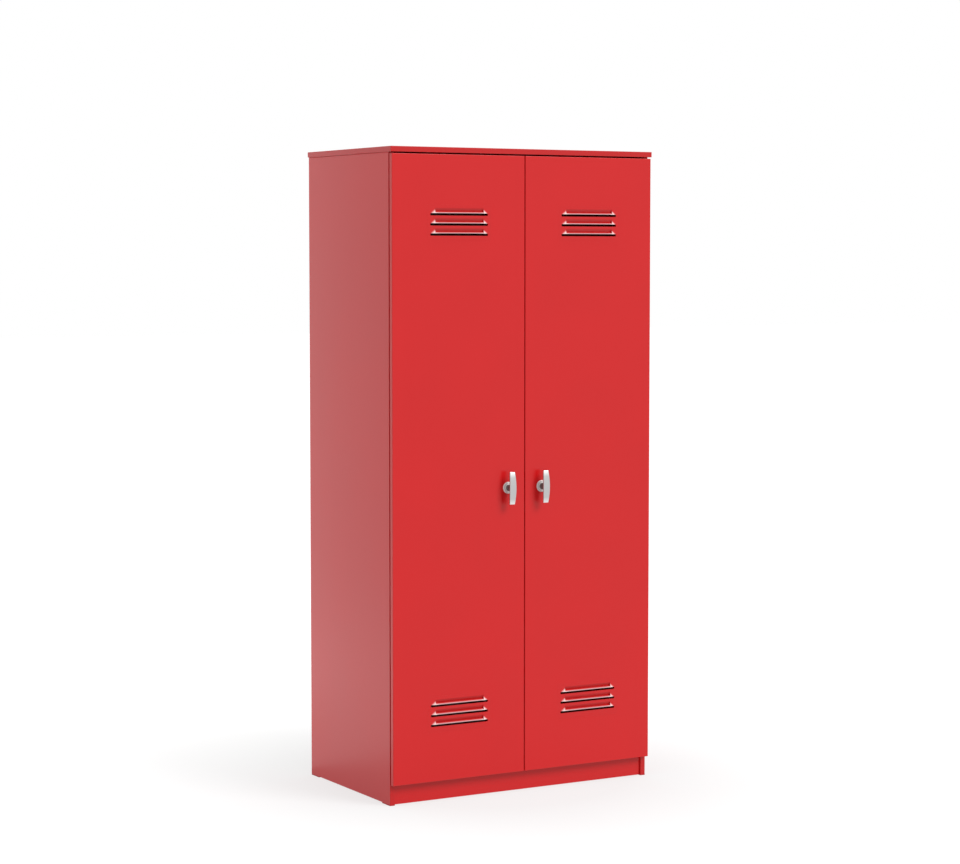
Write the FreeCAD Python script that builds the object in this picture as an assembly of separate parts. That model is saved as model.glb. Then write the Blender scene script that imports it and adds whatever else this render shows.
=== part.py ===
import FreeCAD
import Part
import math
import os

V = FreeCAD.Vector

# Overall size: the top panel's width and depth, and the height to the top of the top panel.
width = 905.0
depth = 545.0
height = 1935.0

# Carcass boards. The top lies on the sides and reaches a little past them.
board = 16.0
board_round = 0.8
seam_round = 2.0
top_side_overhang = 2.5
top_rear_overhang = 3.0
glide_height = 3.0
glide_length = 50.0
plinth_recess = 6.0
plinth_clear = 2.0
bottom_above_door_edge = 2.0

# Shelf and hanging rail inside.
hat_space = 313.0
shelf_setback = 20.0
rail_drop = 62.0
rail_tall = 30.0
rail_deep = 15.0
rail_wall = 1.2
rail_play = 0.2
flange_tall = 64.0
flange_deep = 26.0
flange_plate = 3.0
flange_rim = 2.0
flange_rim_length = 12.0
flange_screw_spread = 50.0
flange_round = 8.0

# Thin back in two halves, held in grooves and joined by a plastic strip with two slots.
back_thick = 3.0
back_inset = 12.0
groove_deep = 6.0
groove_play = 0.4
back_edge_play = 0.5
strip_wide = 24.0
strip_skin = 1.2
strip_web = 3.0

# Two lay-on doors.
door_board = 16.0
door_round = 1.5
door_gap = 3.0
door_gap_centre = 3.0
door_gap_top = 4.5
door_side_inset = 1.0
door_bottom = 62.0

# Vents: plates let in flush with the door, each pressed into louvres that open downwards.
louvre_count = 3
louvre_pitch = 29.5
louvre_width = 196.0
louvre_height = 15.5
louvre_end = 16.0
louvre_end_height = 12.5
louvre_reach = 4.5
louvre_dish = 4.0
louvre_lip_rise = 5.7
louvre_lip_edge = 1.0
louvre_slot = 6.7
vent_sheet = 1.2
vent_margin = 9.0
vent_play = 0.1
vent_from_door_top = 201.5
vent_from_door_bottom = 200.5
vent_window_rim = 6.0

# Pull handles: a bowed grip, widest in the middle, on a post with a flat rosette. The screw comes
# from inside the door.
handle_height = 926.0
handle_from_gap = 57.0
grip_length = 97.5
grip_mid_wide = 22.6
grip_end_wide = 17.0
grip_thick = 5.0
grip_bow = 5.2
grip_round = 1.6
grip_seat = 0.3
post_length = 26.9
rosette_radius = 17.7
rosette_edge = 2.0
rosette_height = 4.0
post_foot = 1.5
post_radius = 10.0
post_head_radius = 10.8
post_head_height = 2.5
handle_screw_radius = 2.0
handle_screw_in_grip = 4.0
handle_screw_head_radius = 4.0
handle_screw_head = 2.3

# Concealed hinges: a bent arm on the side panel reaches into a cup in the door and turns on one pin.
hinge_count = 4
hinge_from_door_end = 110.0
pivot_from_edge = 7.5
pivot_depth = 8.5
pin_radius = 1.5
pin_play = 0.05
eye_radius = 2.9
arm_strip = 3.0
arm_neck_tall = 9.0
arm_tall = 14.0
arm_length = 58.0
cup_radius = 17.4
cup_play = 0.1
cup_wall = 1.1
cup_floor = 0.7
cup_eye_room = 2.6
cup_eye_clear = 0.5
cup_flange = 1.2
cup_flange_tall = 54.0
cup_flange_near = 5.5
cup_flange_far = 33.0
cup_flange_round = 4.5
cup_screw_spread = 45.0
cup_screw_offset = 9.5
plate_thick = 4.0
plate_wing_thick = 2.5
plate_start = 14.0
plate_length = 48.0
plate_line = 37.0
plate_wing_deep = 14.0
plate_wing_tall = 48.0
plate_wing_round = 4.5
plate_screw_spread = 32.0
arm_screw_line = 50.0

# Screws and knock-down fittings.
fit_play = 0.1
wood_screw_radius = 1.7
wood_screw_length = 12.0
wood_screw_head_radius = 3.2
wood_screw_head = 1.2
euro_screw_radius = 2.4
euro_screw_length = 11.0
euro_screw_head_radius = 3.8
euro_screw_head = 1.5
machine_screw_radius = 1.9
cam_radius = 7.4
cam_deep = 12.4
cam_line = 34.0
cam_drive_wide = 1.4
cam_drive_long = 8.0
cam_drive_deep = 2.0
cam_neck_slot = 4.8
cam_head_slot = 7.0
bolt_radius = 3.4
bolt_neck_radius = 2.0
bolt_head_radius = 3.1
bolt_head = 4.0
bolt_thread_radius = 2.4
bolt_thread = 11.0
dowel_radius = 3.9
dowel_short = 10.0
dowel_long = 18.0
fitting_from_edge = 60.0
dowel_from_cam = 32.0
plinth_dowels = 3

# Door buffers, glide pegs and the angle brackets for the wall.
buffer_radius = 4.0
buffer_from_gap = 40.0
buffer_from_hinge = 120.0
peg_radius = 2.5
peg_height = 12.0
peg_spread = 26.0
bracket_leg = 40.0
bracket_hole_line = 24.0
bracket_wide = 28.0
bracket_thick = 2.0
bracket_spread = 600.0
wall_hole_radius = 2.75

# Places that follow from the sizes above. The front faces -Y and the floor is at z = 0.
side_out = width / 2 - top_side_overhang
side_in = side_out - board
handle_reach = post_length + grip_seat + grip_thick
y_front = handle_reach - (depth + handle_reach) / 2
y_door_back = y_front + door_board
y_side = y_door_back + door_gap
y_rear = y_front + depth - top_rear_overhang
y_back_rear = y_rear - back_inset
y_back = y_back_rear - back_thick
z_top = height - board
z_under = door_bottom + bottom_above_door_edge
z_floor = z_under + board
door_top = z_top - door_gap_top
door_out = side_out - door_side_inset
door_in = door_gap_centre / 2
door_mid = (door_out + door_in) / 2
handle_x = door_in + handle_from_gap
pivot_x = door_out - pivot_from_edge
pivot_y = y_door_back - pivot_depth
cup_edge = pivot_from_edge - eye_radius - cup_eye_room
cup_depth = pivot_depth + eye_radius + cup_eye_clear + cup_floor
cup_x = door_out - cup_edge - cup_radius - cup_play
shelf_height = z_top - hat_space - board
rail_z = shelf_height - rail_drop
rail_y = (y_side + y_back) / 2
hinge_first = door_bottom + hinge_from_door_end
hinge_step = (door_top - door_bottom - 2 * hinge_from_door_end) / (hinge_count - 1)
hinge_levels = [hinge_first + hinge_step * i for i in range(hinge_count)]

X = V(1, 0, 0)
Y = V(0, 1, 0)
Z = V(0, 0, 1)


def box(x0, x1, y0, y1, z0, z1):
    """A block between two corners, given in any order."""
    low = V(min(x0, x1), min(y0, y1), min(z0, z1))
    return Part.makeBox(abs(x1 - x0), abs(y1 - y0), abs(z1 - z0), low)


def rod(radius, length, start, along):
    """A round bar from a start point."""
    return Part.makeCylinder(radius, length, start, along)


def prism(points, along):
    """A closed polygon swept along a vector."""
    return Part.Face(Part.makePolygon(points + [points[0]])).extrude(along)


def flip(shape):
    """The same piece on the other hand of the object."""
    return shape.mirror(V(0, 0, 0), X)


def both(shapes):
    """A list of pieces and their mirror images."""
    return shapes + [flip(s) for s in shapes]


def minus(shape, cutters):
    """One solid with a list of cutters taken away."""
    return shape.cut(Part.makeCompound(cutters)) if cutters else shape


def plus(shape, others):
    """Several solids joined into one."""
    return shape.fuse(others).removeSplitter()


def group(shapes):
    """Separate solids kept in one node."""
    return Part.makeCompound([solid for s in shapes for solid in s.Solids])


def rounded(shape, radius, wanted):
    """The block with some of its edges rounded."""
    return shape.makeFillet(radius, [e for e in shape.Edges if wanted(e)])


def runs_along(edge, axis):
    """True for a straight edge parallel to an axis."""
    a, b = edge.Vertexes[0].Point, edge.Vertexes[-1].Point
    return abs((b - a).normalize().dot(axis)) > 0.999


def screw(radius, length, head_radius, head, seat, into):
    """A screw: the seat is the middle of the head's underside."""
    return plus(rod(radius, length, seat, into), [rod(head_radius, head, seat - into * head, into)])


def cam_joint(seat, into, outward):
    """A cam, its bolt and their bores.

    The seat lies on the end face of the cammed board at mid thickness, `into` points into the
    other board and `outward` leaves the cammed board through the face the cam goes in by.
    """
    across = into.cross(outward)
    centre = seat - into * cam_line
    face = centre + outward * (board / 2)
    cam = rod(cam_radius, cam_deep, face, -outward)
    base = face - outward * cam_deep

    def slot(half, back, front):
        points = [base - into * back - across * half, base + into * front - across * half,
                  base + into * front + across * half, base - into * back + across * half]
        return prism(points, outward * (cam_deep - board / 2 + bolt_radius + fit_play))

    def drive(long_way, wide_way):
        a, b = long_way * (cam_drive_long / 2), wide_way * (cam_drive_wide / 2)
        return prism([face + a + b, face + a - b, face - a - b, face - a + b], -outward * cam_drive_deep)

    cam = minus(cam, [slot(cam_neck_slot / 2, 0, 2 * cam_radius),
                      slot(cam_head_slot / 2, bolt_head, bolt_head),
                      drive(into, across), drive(across, into)])
    shank_back = cam_line - cam_radius - 2 * fit_play
    bolt = plus(rod(bolt_radius, shank_back, seat, -into),
                [rod(bolt_thread_radius, bolt_thread, seat, into),
                 rod(bolt_neck_radius, cam_line, seat, -into),
                 rod(bolt_head_radius, bolt_head, centre + into * (bolt_head / 2), -into)])
    own = [rod(cam_radius + fit_play, cam_deep + fit_play, face, -outward),
           rod(bolt_radius + fit_play, cam_line, seat, -into)]
    other = [rod(bolt_thread_radius + fit_play, bolt_thread + fit_play, seat, into)]
    return cam, bolt, own, other


def dowel_joint(seat, into):
    """A dowel across a joint, with its two bores."""
    dowel = rod(dowel_radius, dowel_long + dowel_short, seat - into * dowel_long, into)
    own = [rod(dowel_radius + fit_play, dowel_long + fit_play, seat, -into)]
    other = [rod(dowel_radius + fit_play, dowel_short + fit_play, seat, into)]
    return dowel, own, other


# Knock-down fittings, worked out on the left and mirrored. Each board collects its bores.
cams = []
bolts = []
dowels = []
bores = {"side": [], "top": [], "bottom": [], "shelf": [], "plinth": []}


def place_cam(seat, into, outward, own, other):
    cam, bolt, own_bores, other_bores = cam_joint(seat, into, outward)
    cams.append(cam)
    bolts.append(bolt)
    bores[own].extend(own_bores)
    bores[other].extend(other_bores)


def place_dowel(seat, into, own, other):
    dowel, own_bores, other_bores = dowel_joint(seat, into)
    dowels.append(dowel)
    bores[own].extend(own_bores)
    bores[other].extend(other_bores)


front_fitting = y_side + fitting_from_edge
rear_fitting = y_back - fitting_from_edge
for y, step in ((front_fitting, dowel_from_cam), (rear_fitting, -dowel_from_cam)):
    z_mid = z_under + board / 2
    place_cam(V(-side_in, y, z_mid), -X, -Z, "bottom", "side")
    place_dowel(V(-side_in, y + step, z_mid), -X, "bottom", "side")
    place_cam(V(-side_in, y, shelf_height + board / 2), -X, -Z, "shelf", "side")
    place_dowel(V(-side_in, y + step, shelf_height + board / 2), -X, "shelf", "side")
    place_cam(V(-side_in - board / 2, y, z_top), Z, X, "side", "top")
    place_dowel(V(-side_in - board / 2, y + step, z_top), Z, "side", "top")
y_plinth = y_side + plinth_recess
y_plinth_mid = y_plinth + board / 2
place_cam(V(-side_in, y_plinth_mid, (plinth_clear + z_under) / 2), -X, Y, "plinth", "side")
plinth_dowel_step = 2 * (side_in - fitting_from_edge) / (plinth_dowels - 1)
plinth_dowel_xs = [fitting_from_edge - side_in + plinth_dowel_step * i for i in range(plinth_dowels)]
plinth_dowel_sets = [dowel_joint(V(x, y_plinth_mid, z_under), Z) for x in plinth_dowel_xs]
long_bores = [b for s in plinth_dowel_sets for b in s[1]]
short_bores = [b for s in plinth_dowel_sets for b in s[2]]


def back_groove(x0, x1, z0, z1):
    """The slot that the thin back stands in."""
    return box(x0, x1, y_back - groove_play / 2, y_back_rear + groove_play / 2, z0, z1)


def glide(y0):
    """A moulded foot under the left side panel with two pegs going up into it."""
    foot = box(-side_out, -side_in, y0, y0 + glide_length, 0, glide_height)
    middle = V(-side_in - board / 2, y0 + glide_length / 2, glide_height)
    seats = [middle + Y * (peg_spread / 2), middle - Y * (peg_spread / 2)]
    holes = [rod(peg_radius + fit_play, peg_height + fit_play, s, Z) for s in seats]
    return plus(foot, [rod(peg_radius, peg_height, s, Z) for s in seats]), holes


glides, glide_holes = zip(glide(y_side), glide(y_rear - glide_length))
plate_screw_seats = [V(-side_in + plate_wing_thick, y_side + plate_line, z + s * plate_screw_spread / 2)
                     for z in hinge_levels for s in (-1, 1)]
flange_screw_seats = [V(-side_in + flange_plate, rail_y, rail_z + s * flange_screw_spread / 2)
                      for s in (-1, 1)]
plate_screw_bores = [rod(euro_screw_radius + fit_play, euro_screw_length + fit_play, s, -X)
                     for s in plate_screw_seats]
flange_screw_bores = [rod(wood_screw_radius + fit_play, wood_screw_length + fit_play, s, -X)
                      for s in flange_screw_seats]


def side_panel():
    """The left side, with its back groove and the bores for every fitting on it."""
    panel = box(-side_out, -side_in, y_side, y_rear, glide_height, z_top)
    panel = rounded(panel, seam_round, lambda e: runs_along(e, Y) and e.CenterOfMass.z > z_under
                    and e.CenterOfMass.x < -side_in - board / 2)
    panel = rounded(panel, board_round, lambda e: runs_along(e, Z) and e.CenterOfMass.y < y_side + board)
    groove = back_groove(-side_in - groove_deep, -side_in + board, z_floor - groove_deep, z_top)
    holes = bores["side"] + [h for holes in glide_holes for h in holes]
    return minus(panel, [groove] + holes + plate_screw_bores + flange_screw_bores)


bracket_xs = (-bracket_spread / 2, bracket_spread / 2)
bracket_screw_seats = [V(x, y_back - bracket_hole_line, z_top - bracket_thick) for x in bracket_xs]
wall_holes = [V(x, y_back - bracket_leg, z_top - bracket_hole_line) for x in bracket_xs]


def top_panel():
    """The top, with its back groove on the underside."""
    panel = box(-width / 2, width / 2, y_front, y_front + depth, z_top, height)
    panel = rounded(panel, board_round, lambda e: True)
    groove = back_groove(-side_in - groove_deep, side_in + groove_deep, z_top - board, z_top + groove_deep)
    pilots = [rod(wood_screw_radius + fit_play, wood_screw_length + fit_play, s, Z)
              for s in bracket_screw_seats]
    return minus(panel, [groove] + both(bores["top"]) + pilots)


def bottom_panel():
    """The floor of the locker, lying on the plinth between the sides."""
    panel = box(-side_in, side_in, y_side, y_rear, z_under, z_floor)
    groove = back_groove(-side_in, side_in, z_floor - groove_deep, z_floor + board)
    return minus(panel, [groove] + both(bores["bottom"]) + short_bores)


def plinth_panel():
    """The recessed front plinth under the floor."""
    panel = box(-side_in, side_in, y_plinth, y_plinth + board, plinth_clear, z_under)
    return minus(panel, both(bores["plinth"]) + long_bores)


def shelf_panel():
    """The hat shelf over the hanging rail."""
    panel = box(-side_in, side_in, y_side + shelf_setback, y_back - strip_skin,
                shelf_height, shelf_height + board)
    panel = rounded(panel, board_round, lambda e: runs_along(e, X) and e.CenterOfMass.y < y_side + depth / 2)
    return minus(panel, both(bores["shelf"]))


def back_half():
    """The left half of the thin back, with the hole for one wall screw."""
    panel = box(-side_in - groove_deep + back_edge_play, -strip_web / 2, y_back, y_back_rear,
                z_floor - groove_deep, z_top + groove_deep - back_edge_play)
    return minus(panel, [rod(wall_hole_radius, 2 * bracket_leg, wall_holes[0], Y)])


def back_strip():
    """The joining strip: an H in section, standing between the floor and the top."""
    thick = back_thick + 2 * strip_skin
    bar = box(-strip_wide / 2, strip_wide / 2, y_back - strip_skin, y_back_rear + strip_skin, z_floor, z_top)
    slot = box(strip_web / 2, strip_wide, y_back, y_back + back_thick, z_floor - thick, z_top + thick)
    return minus(bar, both([slot]))


def oval(tall, deep, x0, x1):
    """An upright flat-sided oval bar along the rail's line."""
    r = deep / 2
    half = tall / 2 - r
    middle = box(x0, x1, rail_y - r, rail_y + r, rail_z - half, rail_z + half)
    ends = [rod(r, x1 - x0, V(x0, rail_y, rail_z + s * half), X) for s in (-1, 1)]
    return plus(middle, ends)


def hanging_rail():
    """The oval tube that the clothes hang on."""
    end = side_in - flange_plate
    hollow = oval(rail_tall - 2 * rail_wall, rail_deep - 2 * rail_wall, -side_in, side_in)
    return oval(rail_tall, rail_deep, -end, end).cut(hollow)


def rail_flange():
    """The left socket of the rail: a screwed plate with a rim round the tube's end."""
    inner = -side_in + flange_plate
    plate = box(-side_in, inner, rail_y - flange_deep / 2, rail_y + flange_deep / 2,
                rail_z - flange_tall / 2, rail_z + flange_tall / 2)
    plate = rounded(plate, flange_round, lambda e: runs_along(e, X))
    rim_tall = rail_tall + 2 * (rail_play + flange_rim)
    rim_deep = rail_deep + 2 * (rail_play + flange_rim)
    rim = oval(rim_tall, rim_deep, -side_in, inner + flange_rim_length)
    socket = oval(rail_tall + 2 * rail_play, rail_deep + 2 * rail_play, inner, 0)
    holes = [rod(wood_screw_radius + fit_play, 2 * flange_plate, s, -X) for s in flange_screw_seats]
    return minus(plus(plate, [rim]), [socket] + holes)


def wall_bracket(x, screw_seat, wall_hole):
    """An angle under the top against the back, with a hole for a screw into the wall."""
    x0, x1 = x - bracket_wide / 2, x + bracket_wide / 2
    flat = box(x0, x1, y_back - bracket_leg, y_back, z_top - bracket_thick, z_top)
    upright = box(x0, x1, y_back - bracket_thick, y_back, z_top - bracket_leg, z_top)
    holes = [rod(wood_screw_radius + fit_play, bracket_leg, screw_seat - Z * bracket_thick, Z),
             rod(wall_hole_radius, 2 * bracket_leg, wall_hole, Y)]
    return minus(plus(flat, [upright]), holes)


def hinge_arm(z):
    """The left hinge's bent arm: an eye on the pin, a neck into the cup and a leg along the side."""
    leg_x = -side_in + plate_thick
    neck = arm_neck_tall / 2
    tall = arm_tall / 2
    eye = rod(eye_radius, arm_neck_tall, V(-pivot_x, pivot_y, z - neck), Z)
    reach = box(-pivot_x, leg_x + arm_strip, pivot_y - arm_strip / 2, pivot_y + arm_strip / 2,
                z - neck, z + neck)
    front = box(leg_x, leg_x + arm_strip, pivot_y - arm_strip / 2, y_side + plate_start, z - neck, z + neck)
    leg = box(leg_x, leg_x + arm_strip, y_side + plate_start,
              y_side + plate_start + arm_length - arm_neck_tall, z - tall, z + tall)
    hole = rod(pin_radius + pin_play, arm_tall, V(-pivot_x, pivot_y, z - tall), Z)
    screw_hole = rod(machine_screw_radius + fit_play, 2 * plate_thick,
                     V(leg_x - arm_strip / 2, y_side + arm_screw_line, z), X)
    return minus(plus(eye, [reach, front, leg]), [hole, screw_hole])


def hinge_plate(z):
    """The left hinge's mounting plate: a spine for the arm and two wings for the screws."""
    spine = box(-side_in, -side_in + plate_thick, y_side + plate_start, y_side + plate_start + plate_length,
                z - arm_tall / 2, z + arm_tall / 2)
    wing = box(-side_in, -side_in + plate_wing_thick, y_side + plate_line - plate_wing_deep / 2,
               y_side + plate_line + plate_wing_deep / 2, z - plate_wing_tall / 2, z + plate_wing_tall / 2)
    wing = rounded(wing, plate_wing_round, lambda e: runs_along(e, X))
    holes = [rod(euro_screw_radius + fit_play, 2 * plate_thick, s, -X)
             for s in plate_screw_seats if abs(s.z - z) < plate_wing_tall]
    holes.append(rod(machine_screw_radius + fit_play, 2 * plate_thick,
                     V(-side_in, y_side + arm_screw_line, z), X))
    return minus(plus(spine, [wing]), holes)


def hinge_arm_screw(z):
    """The machine screw that holds the arm down on its plate."""
    seat = V(-side_in + plate_thick + arm_strip, y_side + arm_screw_line, z)
    return screw(machine_screw_radius, plate_thick + arm_strip, euro_screw_head_radius, euro_screw_head,
                 seat, -X)


cup_screw_x = -cup_x + cup_screw_offset
cup_screw_seats = [V(cup_screw_x, y_door_back + cup_flange, z + s * cup_screw_spread / 2)
                   for z in hinge_levels for s in (-1, 1)]


def hinge_cup(z):
    """The left hinge's pressed cup with its flange on the door's inner face."""
    mouth = V(-cup_x, y_door_back, z)
    shell = rod(cup_radius, cup_depth, mouth, -Y)
    flange = box(-door_out + cup_flange_near, -door_out + cup_flange_far,
                 y_door_back, y_door_back + cup_flange,
                 z - cup_flange_tall / 2, z + cup_flange_tall / 2)
    flange = rounded(flange, cup_flange_round, lambda e: runs_along(e, Y))
    hollow = rod(cup_radius - cup_wall, cup_depth - cup_floor + cup_flange, mouth + Y * cup_flange, -Y)
    pin_hole = rod(pin_radius + pin_play / 2, 2 * cup_radius, V(-pivot_x, pivot_y, z - cup_radius), Z)
    holes = [rod(wood_screw_radius + fit_play, 2 * cup_flange, s, -Y)
             for s in cup_screw_seats if abs(s.z - z) < cup_flange_tall]
    return minus(plus(shell, [flange]), [hollow, pin_hole] + holes)


def hinge_pin(z):
    """The left hinge's pin, its ends held in the cup's wall."""
    half = math.sqrt(cup_radius ** 2 - (pivot_x - cup_x + pin_radius) ** 2)
    return rod(pin_radius, 2 * half, V(-pivot_x, pivot_y, z - half), Z)


vent_levels = {"lower": door_bottom + vent_from_door_bottom, "upper": door_top - vent_from_door_top}
vent_half_wide = louvre_width / 2 + vent_margin
vent_half_tall = (louvre_count - 1) * louvre_pitch / 2 + louvre_height + vent_margin


def vent_plate(z):
    """One left vent: a thin plate with louvres, each a dished face, a lip, two drawn ends and a slot."""
    plate = box(-door_mid - vent_half_wide, -door_mid + vent_half_wide, y_front, y_front + vent_sheet,
                z - vent_half_tall, z + vent_half_tall)
    straight = louvre_width / 2 - louvre_end
    cutters = []
    added = []
    for i in range(louvre_count):
        lip = z + (i - (louvre_count - 1) / 2) * louvre_pitch
        x0, x1 = -door_mid - straight, -door_mid + straight
        cutters.append(box(x0, x1, y_front - vent_sheet, y_front + 2 * vent_sheet, lip - louvre_slot,
                           lip + louvre_height))
        cutters.append(box(x0 - louvre_end + louvre_lip_edge, x1 + louvre_end - louvre_lip_edge,
                           y_front - vent_sheet, y_front + 2 * vent_sheet, lip - louvre_slot, lip))
        section = [(0, louvre_height), (louvre_dish, louvre_lip_rise), (-louvre_reach, louvre_lip_edge),
                   (-louvre_reach, 0), (louvre_dish + vent_sheet, louvre_lip_rise - louvre_lip_edge),
                   (vent_sheet, louvre_height)]
        added.append(prism([V(x0, y_front + a, lip + b) for a, b in section], X * (x1 - x0)))
        for x, s in ((x0, -1), (x1, 1)):
            root = V(x, y_front, lip)
            front = root - Y * louvre_reach
            tip = root + X * (s * louvre_end)
            peak = root + Z * louvre_end_height
            faces = [Part.Face(Part.makePolygon([a, b, c, a]))
                     for a, b, c in ((root, front, tip), (root, front, peak),
                                     (root, tip, peak), (front, tip, peak))]
            added.append(Part.makeSolid(Part.makeShell(faces)))
            cheek = [section[0], (0, 0), *section[4:]]
            added.append(prism([V(x, y_front + a, lip + b) for a, b in cheek], X * (s * vent_sheet)))
    return plus(minus(plate, cutters), added)


handle_seat = V(-handle_x, y_front, handle_height)


def door_panel():
    """The left door: rounded board with vent openings, hinge bores and screw holes."""
    panel = box(-door_out, -door_in, y_front, y_door_back, door_bottom, door_top)
    panel = rounded(panel, door_round, lambda e: True)
    cutters = []
    for z in vent_levels.values():
        wide, tall = vent_half_wide + vent_play, vent_half_tall + vent_play
        cutters.append(box(-door_mid - wide, -door_mid + wide, y_front - board, y_front + vent_sheet,
                           z - tall, z + tall))
        wide, tall = wide - vent_window_rim, tall - vent_window_rim
        cutters.append(box(-door_mid - wide, -door_mid + wide, y_front, y_door_back + board,
                           z - tall, z + tall))
    cutters += [rod(cup_radius + cup_play, cup_depth + cup_play, V(-cup_x, y_door_back, z), -Y)
                for z in hinge_levels]
    cutters += [rod(wood_screw_radius + fit_play, wood_screw_length + fit_play, s, -Y)
                for s in cup_screw_seats]
    cutters.append(rod(handle_screw_radius + fit_play, 2 * door_board, handle_seat, Y))
    return minus(panel, cutters)


def handle_post():
    """The left handle's flat rosette and its post, turned in one piece."""
    r, edge, h, foot, top = rosette_radius, rosette_edge, rosette_height, post_foot, post_length
    bend = 1 - math.sqrt(0.5)
    rim = Part.Arc(V(r, edge - h, 0), V(r - bend * edge, bend * edge - h, 0), V(r - edge, -h, 0))
    cove = Part.Arc(V(post_radius + foot, -h, 0), V(post_radius + bend * foot, -h - bend * foot, 0),
                    V(post_radius, -h - foot, 0))
    base = Part.makePolygon([V(0, 0, 0), V(r, 0, 0), V(r, edge - h, 0)])
    flat = Part.makePolygon([V(r - edge, -h, 0), V(post_radius + foot, -h, 0)])
    head = Part.makePolygon([V(post_radius, -h - foot, 0), V(post_radius, -top + post_head_height * 2, 0),
                             V(post_head_radius, -top + post_head_height, 0), V(post_head_radius, -top, 0),
                             V(0, -top, 0), V(0, 0, 0)])
    wire = Part.Wire([*base.Edges, rim.toShape(), *flat.Edges, cove.toShape(), *head.Edges])
    turned = Part.Face(wire).revolve(V(0, 0, 0), Y)
    turned.translate(handle_seat)
    return minus(turned, [rod(handle_screw_radius + fit_play, 2 * post_length, handle_seat, -Y)])


def bowed(a, b, sag):
    """An arc from one point to another, pushed out in the middle."""
    return Part.Arc(a, (a + b) * 0.5 + sag, b).toShape()


def handle_grip():
    """The left handle's grip: a leaf-shaped plate bowed away from the door, with a flat seat behind."""
    half = Z * (grip_length / 2)
    back = V(handle_seat.x, y_front - handle_reach + grip_thick + grip_bow, handle_height)
    front = back - Y * grip_thick
    arch = Part.Wire([bowed(back - half, back + half, -Y * grip_bow),
                      Part.makeLine(back + half, front + half),
                      bowed(front + half, front - half, -Y * grip_bow),
                      Part.makeLine(front - half, back - half)])
    plate = Part.Face(arch).extrude(X * grip_mid_wide)
    plate.translate(-X * (grip_mid_wide / 2))
    side = X * (grip_end_wide / 2)
    swell = X * ((grip_mid_wide - grip_end_wide) / 2)
    leaf = Part.Wire([bowed(back + side - half, back + side + half, swell),
                      Part.makeLine(back + side + half, back - side + half),
                      bowed(back - side + half, back - side - half, -swell),
                      Part.makeLine(back - side - half, back + side - half)])
    plate = plate.common(Part.Face(leaf).extrude(-Y * (grip_bow + grip_thick)))
    plate = rounded(plate, grip_round, lambda e: True)
    seat = handle_seat - Y * post_length
    pad = rod(post_head_radius, grip_seat + grip_thick / 2, seat, -Y)
    return minus(plus(plate, [pad]), [rod(handle_screw_radius, handle_screw_in_grip, seat, -Y)])


def handle_screw():
    """The screw through the door and the post into the grip."""
    seat = V(-handle_x, y_door_back, handle_height)
    return screw(handle_screw_radius - fit_play / 2, door_board + post_length + handle_screw_in_grip,
                 handle_screw_head_radius, handle_screw_head, seat, -Y)


def door_buffers():
    """Soft dots on the left door that meet the front edge of the floor."""
    z = (z_under + z_floor) / 2
    return [rod(buffer_radius, door_gap, V(x, y_door_back, z), Y)
            for x in (-door_in - buffer_from_gap, -door_out + buffer_from_hinge)]


nodes = {
    "top_panel": top_panel(),
    "bottom_panel": bottom_panel(),
    "front_plinth": plinth_panel(),
    "hat_shelf": shelf_panel(),
    "back_joining_strip": back_strip(),
    "hanging_rail": hanging_rail(),
    "rail_sockets": group(both([rail_flange()])),
    "rail_socket_screws": group(both([
        screw(wood_screw_radius, wood_screw_length, wood_screw_head_radius, wood_screw_head, s, -X)
        for s in flange_screw_seats])),
    "foot_glides": group(both(list(glides))),
    "cam_locks": group(both(cams)),
    "cam_bolts": group(both(bolts)),
    "wooden_dowels": group(both(dowels) + [s[0] for s in plinth_dowel_sets]),
    "wall_brackets": group([wall_bracket(*each)
                            for each in zip(bracket_xs, bracket_screw_seats, wall_holes)]),
    "wall_bracket_screws": group([
        screw(wood_screw_radius, wood_screw_length, wood_screw_head_radius, wood_screw_head, s, Z)
        for s in bracket_screw_seats]),
    "hinge_mounting_plates": group(both([hinge_plate(z) for z in hinge_levels])),
    "hinge_plate_screws": group(both([
        screw(euro_screw_radius, euro_screw_length, euro_screw_head_radius, euro_screw_head, s, -X)
        for s in plate_screw_seats])),
    "hinge_arms": group(both([hinge_arm(z) for z in hinge_levels])),
    "hinge_arm_screws": group(both([hinge_arm_screw(z) for z in hinge_levels])),
}
left = {
    "side_panel": side_panel(),
    "back_panel": back_half(),
    "door_panel": door_panel(),
    "upper_vent": vent_plate(vent_levels["upper"]),
    "lower_vent": vent_plate(vent_levels["lower"]),
    "hinge_cups": group([hinge_cup(z) for z in hinge_levels]),
    "hinge_pins": group([hinge_pin(z) for z in hinge_levels]),
    "hinge_cup_screws": group([
        screw(wood_screw_radius, wood_screw_length, wood_screw_head_radius, wood_screw_head, s, -Y)
        for s in cup_screw_seats]),
    "handle_post": handle_post(),
    "handle_grip": handle_grip(),
    "handle_screw": handle_screw(),
    "door_buffers": group(door_buffers()),
}
for name, shape in left.items():
    nodes["left_" + name] = shape
    nodes["right_" + name] = flip(shape)

os.makedirs("parts", exist_ok=True)
for name, shape in nodes.items():
    shape.exportStep("parts/" + name + ".step")
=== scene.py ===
import math

import bmesh
import bpy
from mathutils import Matrix, Vector


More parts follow.
